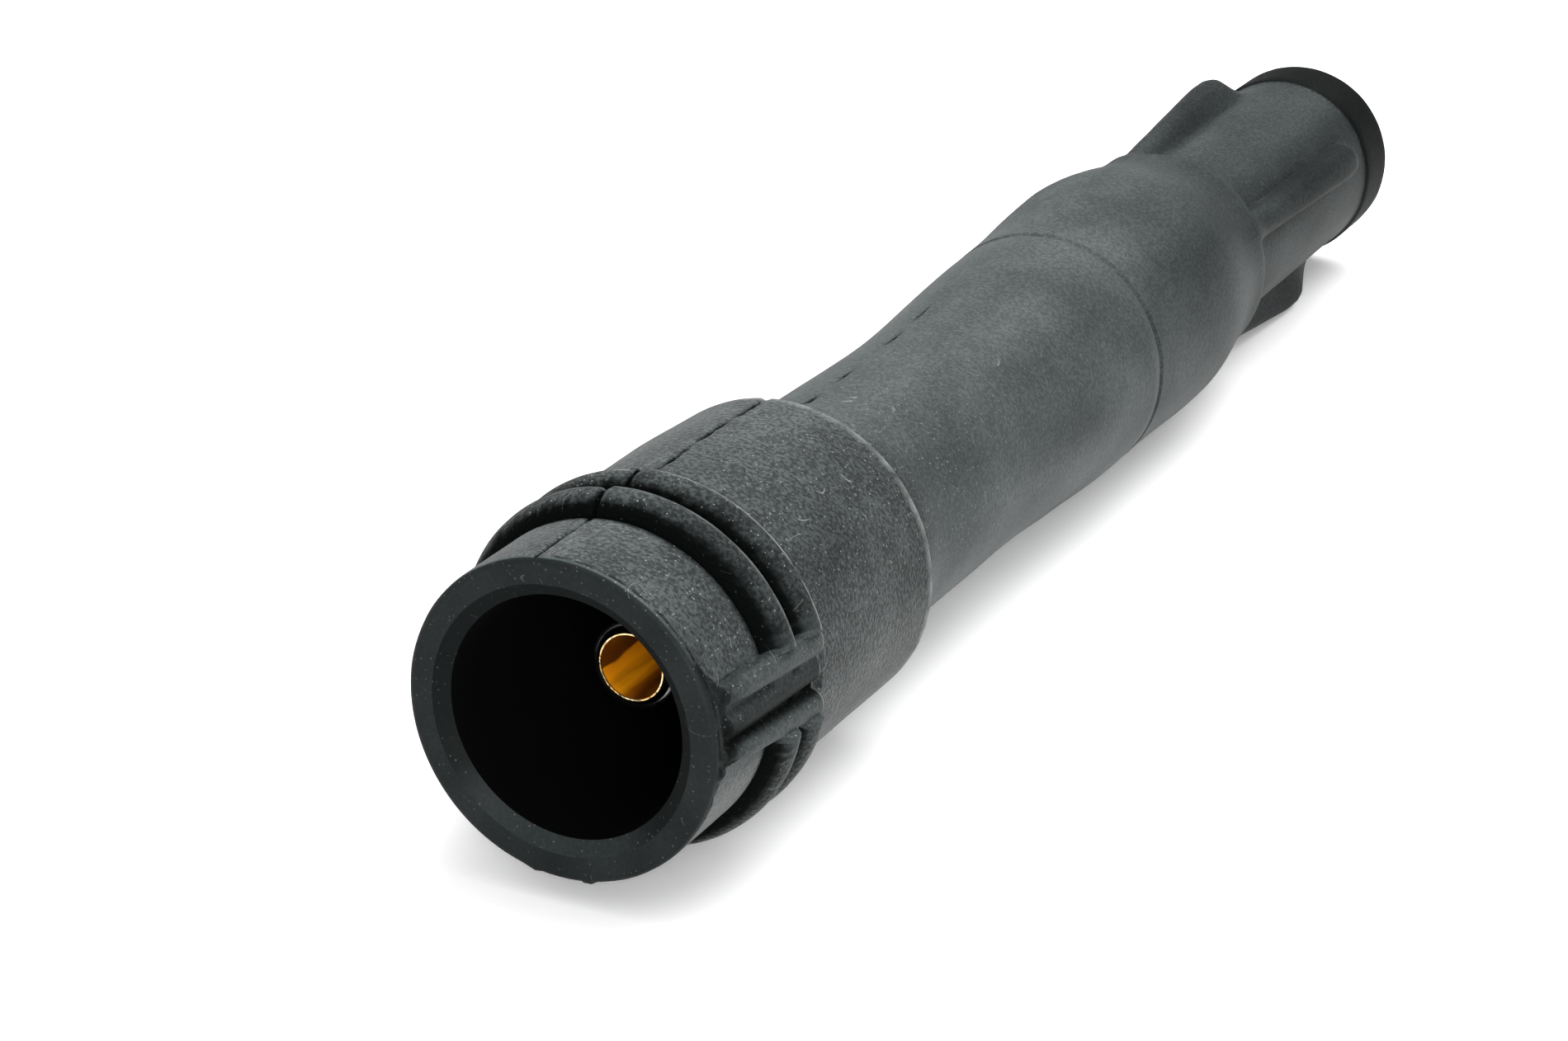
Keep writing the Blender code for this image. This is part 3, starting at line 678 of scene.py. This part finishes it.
curl = worked(dust, "LESS_THAN", worked(dust, "ABSOLUTE", from_middle), FIBRE_WIDTH)
in_patch = worked(dust, "GREATER_THAN", mottled(dust, dust_in["Place"], 520.0, 0.0), FIBRE_PATCH)
either = worked(dust, "MAXIMUM", speck, worked(dust, "MULTIPLY", curl, in_patch))
lying = ranged(dust, facing_up(dust), 0.25, 1.0, -0.6, 0.9)
shown = worked(dust, "MULTIPLY", either, lying)
dust.links.new(worked(dust, "MULTIPLY", shown, dust_in["Amount"]), dust_out["Mask"])


def finish_of(name):
    """Starts a material and gives its tree, its shader and its Object coordinates."""
    made = bpy.data.materials.new(name)
    made.use_nodes = True
    tree = made.node_tree
    shader = tree.nodes["Principled BSDF"]
    place = tree.nodes.new("ShaderNodeTexCoord").outputs["Object"]
    return made, tree, shader, place


def effect(tree, group, place, values):
    """Places a shared effect in a material, with this material's own values, and gives its outputs."""
    return add(tree, "ShaderNodeGroup", {"Place": place, **values}, node_tree=group).outputs


def feed(tree, shader, sockets):
    """Feeds the shader's inputs, each by a value that changes over the surface or by a plain one."""
    for name, value in sockets.items():
        if isinstance(value, bpy.types.NodeSocket):
            tree.links.new(value, shader.inputs[name])
        else:
            shader.inputs[name].default_value = value


BLACK_RUBBER = (0.0015, 0.002, 0.002)
SMOOTH_GREY = (0.076, 0.095, 0.095)
PIT_GREY = (0.021, 0.026, 0.026)
CREST_GREY = (0.092, 0.109, 0.107)
FLASH_GREY = (0.36, 0.39, 0.38)
DUST_GREY = (0.23, 0.25, 0.24)
GRAIN_RELIEF = 0.00016
rubber, tree, shader, place_of = finish_of("moulded_rubber")
grainy = painted(tree, "grainy")
wear_and_shade = painted(tree, "wear_and_shade")
rubber_grain = effect(tree, grain, place_of, {})
rubber_dust = effect(tree, dust, place_of, {"Amount": painted(tree, "dusty")})
grain_tone = banded(tree, rubber_grain["Mottle"], ((0.43, PIT_GREY), (0.60, CREST_GREY)))
grained = mixed(tree, ranged(tree, grainy, 0.25, 1.0), SMOOTH_GREY, grain_tone)
# Upward faces are greyer: partly settled dust, partly painted light from above.
dust_and_light_from_above = ranged(tree, facing_up(tree), 0.62, 1.1, -0.3, 1.0)
greyed = mixed(tree, worked(tree, "MULTIPLY", dust_and_light_from_above, wear_and_shade), BLACK_RUBBER, grained)
edged = mixed(tree, painted(tree, "flash"), greyed, FLASH_GREY)
bloom = worked(tree, "MULTIPLY", wear_and_shade, ranged(tree, grainy, 0.05, 0.22, start=0.4))
grain_depth = worked(tree, "MULTIPLY", grainy, 0.9)
feed(tree, shader, {
    "Base Color": mixed(tree, rubber_dust["Mask"], edged, DUST_GREY),
    "Roughness": ranged(tree, grainy, 0.5, 0.8),
    "Normal": bumped(tree, rubber_grain["Height"], grain_depth, GRAIN_RELIEF),
    "Specular IOR Level": ranged(tree, wear_and_shade, 0.03, 0.3),
    "Sheen Weight": bloom,
    "Sheen Roughness": 0.4,
})
boot = piece("boot_moulding", boot_mesh, rubber, "boot")

# The boot's bore: the same rubber, rubbed smooth by the coil's tower and the core, so it has coarser grain.
# Its near-black colour is painted shade, for the light that hardly reaches in. It is part of the same
# moulding.
bore_rubber_painted_shade, tree, shader, place_of = finish_of("bore_rubber_painted_shade")
bore_grain = effect(tree, grain, place_of, {"Pits per metre": 1400.0})
feed(tree, shader, {
    "Base Color": mixed(tree, bore_grain["Mottle"], (0.0008, 0.0008, 0.0009), (0.002, 0.002, 0.002)),
    "Roughness": 0.6,
    "Specular IOR Level": 0.08,
})
boot.data.materials.append(bore_rubber_painted_shade)
row_values = boot.data.attributes["row"].data
for face in boot.data.polygons:
    rows = [round(row_values[index].value) for index in face.vertices]
    if min(rows) >= outer_rows - 1 and max(rows) < chamfer_row:
        face.material_index = 1

# The insulating core: a long, hard tube of glossy black plastic, pushed into the boot while the rubber
# was warm and held there by its rings. Its nose stands free in the mouth, round the contact tube.
NOSE_TIP = 10.7
NOSE_RADIUS = 3.35
NOSE_BORE = 2.9
NOSE_END = 27.7
NOSE_END_RADIUS = 4.4
FLANGE_RADIUS = 8.5
FLANGE_END = 29.7
CORE_RADIUS = 6.2
CORE_RING_RADIUS = 7.1
CORE_RING_HALF = 1.5
CORE_END = 116.95
CHAMBER_START = 31.0
CHAMBER_RADIUS = 3.5
SOCKET_START = 102.85
SOCKET_RADIUS = 5.0
STOP_RADIUS = 4.4
STOP_START = 104.65
STOP_END = 105.85
core_profile = [
    (NOSE_BORE + 0.12, NOSE_TIP), (NOSE_RADIUS - 0.2, NOSE_TIP), (NOSE_RADIUS - 0.06, NOSE_TIP + 0.06),
    (NOSE_RADIUS, NOSE_TIP + 0.2), (NOSE_END_RADIUS, NOSE_END),
    (FLANGE_RADIUS, NOSE_END), (FLANGE_RADIUS, FLANGE_END), (CORE_RADIUS, FLANGE_END),
]
for ring in CORE_RING_PLACES:
    core_profile += [(CORE_RADIUS, ring - CORE_RING_HALF), (CORE_RING_RADIUS, ring - CORE_RING_HALF)]
    core_profile += [(CORE_RING_RADIUS, ring + CORE_RING_HALF), (CORE_RADIUS, ring + CORE_RING_HALF)]
core_profile += [
    (CORE_RADIUS, CORE_END), (SOCKET_RADIUS, CORE_END), (SOCKET_RADIUS, STOP_END), (STOP_RADIUS, STOP_END),
    (STOP_RADIUS, STOP_START), (SOCKET_RADIUS, STOP_START), (SOCKET_RADIUS, SOCKET_START),
    (CHAMBER_RADIUS, SOCKET_START), (CHAMBER_RADIUS, CHAMBER_START), (NOSE_BORE, CHAMBER_START),
    (NOSE_BORE, NOSE_TIP + 0.12),
]


def spun(profile, steps=96):
    """Turns a closed profile of (radius, place) points in millimetres and lays it down in the cap."""
    shape = bmesh.new()
    round_of = shape.verts.layers.float.new("round")
    points = [shape.verts.new((0.0, radius * MM, -place * MM)) for radius, place in profile]
    edges = [shape.edges.new((points[i - 1], points[i])) for i in range(len(points))]
    bmesh.ops.spin(
        shape, geom=points + edges, cent=(0, 0, 0), axis=(0, 0, -1), dvec=(0, 0, 0),
        angle=2 * math.pi, steps=steps, use_merge=True, use_normal_flip=False, use_duplicate=False,
    )
    bmesh.ops.remove_doubles(shape, verts=shape.verts, dist=0.000001)
    for vert in shape.verts:
        vert[round_of] = math.degrees(math.atan2(vert.co.x, vert.co.y)) % 360.0 / 360.0
    bmesh.ops.recalc_face_normals(shape, faces=shape.faces)
    bmesh.ops.transform(shape, verts=shape.verts, matrix=lay)
    return shape


# Two painted highlights: arcs of the core whose IOR is raised so they glint: share of the way round, and how
# much
DULL = (0.03, 0.03, 0.03)
BRIGHT = (1.0, 1.0, 1.0)
GLINT_ARCS = ((0.30, DULL), (0.36, BRIGHT), (0.42, DULL), (0.76, DULL), (0.82, BRIGHT), (0.88, DULL))
core_finish, tree, shader, place_of = finish_of("gloss_black_plastic")
core_flow = mottled(tree, place_of, 260.0, 2.0)
core_tone = mixed(tree, core_flow, (0.001, 0.001, 0.001), (0.003, 0.003, 0.003))
core_dust = effect(tree, dust, place_of, {"Amount": 0.25})
core_glints = banded(tree, painted(tree, "round"), GLINT_ARCS)
feed(tree, shader, {
    "Base Color": mixed(tree, core_dust["Mask"], core_tone, (0.05, 0.05, 0.05)),
    "Roughness": ranged(tree, core_flow, 0.08, 0.2),
    "IOR": ranged(tree, core_glints, 1.3, 2.6),
})
piece("core_tube", spun(core_profile), core_finish, "insulator_core")

# The contact tube: a drawn brass tube with a bright, slightly ragged rim, which takes the coil's pin.
# It is pressed into the core's nose, and its flange stops it against the core's inner shoulder.
TUBE_TIP = 10.3
TUBE_RADIUS = 2.6
TUBE_BORE = 2.2
TUBE_END = 31.3
TUBE_FLANGE_RADIUS = 3.2
TUBE_FLANGE_END = 32.3
tube_profile = [
    (0.0, TUBE_END), (TUBE_BORE, TUBE_END), (TUBE_BORE, TUBE_TIP + 0.9), (2.42, TUBE_TIP + 0.08),
    (2.46, TUBE_TIP), (2.56, TUBE_TIP), (TUBE_RADIUS, TUBE_TIP + 0.06), (TUBE_RADIUS, TUBE_END),
    (TUBE_FLANGE_RADIUS, TUBE_END), (TUBE_FLANGE_RADIUS, TUBE_FLANGE_END), (0.0, TUBE_FLANGE_END),
]


def drawn_along(tree, place, stretch):
    """Coordinates that stretch a pattern along the cap, as drawing the metal does."""
    return add(tree, "ShaderNodeMapping", {"Vector": place, "Scale": (1.0, stretch, 1.0)}).outputs[0]


brass, tree, shader, place_of = finish_of("drawn_brass")
drawn = mottled(tree, drawn_along(tree, place_of, 0.04), 1300.0, 3.0)
brass_tone = ranged(tree, drawn, 0.0, 1.0, 0.35, 0.65)
feed(tree, shader, {
    "Base Color": mixed(tree, brass_tone, (0.70, 0.40, 0.12), (1.0, 0.86, 0.52)),
    "Metallic": 1.0,
    "Roughness": ranged(tree, drawn, 0.14, 0.3),
    "Normal": bumped(tree, mottled(tree, place_of, 2200.0, 2.0), 0.7, 0.0001),
})
tube = piece("contact_tube_brass", spun(tube_profile), brass, "contact_tube")
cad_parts["plug_terminal"].material_slots[0].material = brass

# The contact tube's wall inside: the same brass, dulled to amber, with a painted light streak where the wall
# faces the camera and painted shade, dark brown, to its sides. The colours run round the wall.
AMBER_WITH_PAINTED_STREAK = (
    (0.53, (0.08, 0.019, 0.001)), (0.59, (0.34, 0.10, 0.002)), (0.64, (0.86, 0.32, 0.003)),
    (0.68, (0.58, 0.20, 0.002)), (0.72, (0.84, 0.29, 0.003)), (0.77, (0.72, 0.23, 0.002)),
    (0.785, (0.10, 0.025, 0.001)),
)
amber_streaked_brass, tree, shader, place_of = finish_of("amber_brass_painted_streak")
rubbed = mottled(tree, drawn_along(tree, place_of, 0.12), 1500.0, 3.0)
way_round = worked(tree, "MULTIPLY_ADD", rubbed, 0.09, painted(tree, "round"))
feed(tree, shader, {
    "Base Color": banded(tree, way_round, AMBER_WITH_PAINTED_STREAK),
    "Metallic": 0.1,
    "Roughness": ranged(tree, rubbed, 0.3, 0.5),
})
tube.data.materials.append(amber_streaked_brass)
from_cap = lay.inverted()
for face in tube.data.polygons:
    centre = from_cap @ face.center
    if math.hypot(centre.x, centre.y) < (TUBE_BORE + 0.2) * MM and -centre.z < (TUBE_END + 0.1) * MM:
        face.material_index = 1

# The two springs, the resistor's two cups and the terminal's clip: springs and clip are bent from
# drawn steel wire, and the cups are pressed from sheet. The springs push the cups and the rod
# together in the core's chamber, and the clip holds the terminal's slit wall closed.
steel, tree, shader, place_of = finish_of("drawn_steel")
steel_marks = mottled(tree, place_of, 3000.0, 2.0)
feed(tree, shader, {
    "Base Color": mixed(tree, steel_marks, (0.48, 0.48, 0.47), (0.64, 0.64, 0.63)),
    "Metallic": 1.0,
    "Roughness": ranged(tree, steel_marks, 0.24, 0.42),
})
SPRINGS = ("coil_side_spring", "plug_side_spring")
CUPS = ("resistor_cap_coil_side", "resistor_cap_plug_side")
for name in (*SPRINGS, *CUPS, "terminal_clip"):
    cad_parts[name].material_slots[0].material = steel

# The suppressor resistor's rod: fired ceramic, matte and faintly speckled, with a cup pressed
# on each end. The two springs hold it in the middle of the core's chamber.
ceramic, tree, shader, place_of = finish_of("fired_ceramic")
fired = mottled(tree, place_of, 1800.0, 3.0)
feed(tree, shader, {
    "Base Color": mixed(tree, fired, (0.62, 0.58, 0.50), (0.78, 0.74, 0.66)),
    "Roughness": 0.6,
})
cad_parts["resistor_rod"].material_slots[0].material = ceramic

# The table: a smooth white sheet that keeps the cap's soft shadow and runs out to white. What the
# camera and the brass see of it is a little brighter than the light that it throws back on the cap.
FLOOR_HALF = 1.5
SHEET_WHITE = (0.66, 0.66, 0.66)
SEEN_WHITE = (1.18, 1.18, 1.18)
SEEN_GLOW = 0.08
floor_mesh = bmesh.new()
bmesh.ops.create_grid(floor_mesh, x_segments=1, y_segments=1, size=FLOOR_HALF)
floor_data = bpy.data.meshes.new("floor")
floor_mesh.to_mesh(floor_data)
floor_mesh.free()
floor = bpy.data.objects.new("floor", floor_data)
bpy.context.scene.collection.objects.link(floor)
floor_finish, tree, shader, place_of = finish_of("white_sheet")
rays = add(tree, "ShaderNodeLightPath", {}).outputs
seen = worked(tree, "MAXIMUM", rays["Is Camera Ray"], rays["Is Glossy Ray"])
feed(tree, shader, {
    "Base Color": mixed(tree, seen, SHEET_WHITE, SEEN_WHITE),
    "Roughness": 0.9,
    "Specular IOR Level": 0.1,
    "Emission Color": (1.0, 1.0, 1.0, 1.0),
    "Emission Strength": worked(tree, "MULTIPLY", seen, SEEN_GLOW),
})
floor_data.materials.append(floor_finish)

# The light: a large softbox above and behind the cap, a small one beside the camera, and a pale
# room all round that is brightest overhead. The camera itself sees the room as plain white.
LEAST_ROOM_LIGHT = 0.22
world = bpy.data.worlds.new("room")
world.use_nodes = True
bpy.context.scene.world = world
room = world.node_tree
glow = room.nodes["Background"]
paths = add(room, "ShaderNodeLightPath", {}).outputs
open_view = worked(room, "MAXIMUM", paths["Is Camera Ray"], paths["Is Transmission Ray"])
looking = add(room, "ShaderNodeTexCoord", {}).outputs["Generated"]
height = add(room, "ShaderNodeSeparateXYZ", {"Vector": looking}).outputs["Z"]
overhead = ranged(room, height, LEAST_ROOM_LIGHT, 1.0)
room.links.new(worked(room, "MAXIMUM", overhead, open_view), glow.inputs["Strength"])
glow.inputs["Color"].default_value = (1.0, 1.0, 1.0, 1.0)

MIDDLE_OF_CAP = Vector((0.0, 0.0, 0.01))


def softbox(name, place, size, power):
    """Hangs a square softbox that faces the middle of the cap."""
    lamp = bpy.data.lights.new(name, "AREA")
    lamp.shape = "SQUARE"
    lamp.size = size
    lamp.energy = power
    item = bpy.data.objects.new(name, lamp)
    item.location = place
    item.rotation_euler = (MIDDLE_OF_CAP - Vector(place)).to_track_quat("-Z", "Y").to_euler()
    bpy.context.scene.collection.objects.link(item)


softbox("key_softbox", place=(0.11, 0.23, 0.64), size=0.6, power=4.2)
softbox("front_fill", place=(0.24, -0.47, 0.16), size=0.22, power=1.75)
bpy.context.scene.view_settings.view_transform = "Standard"
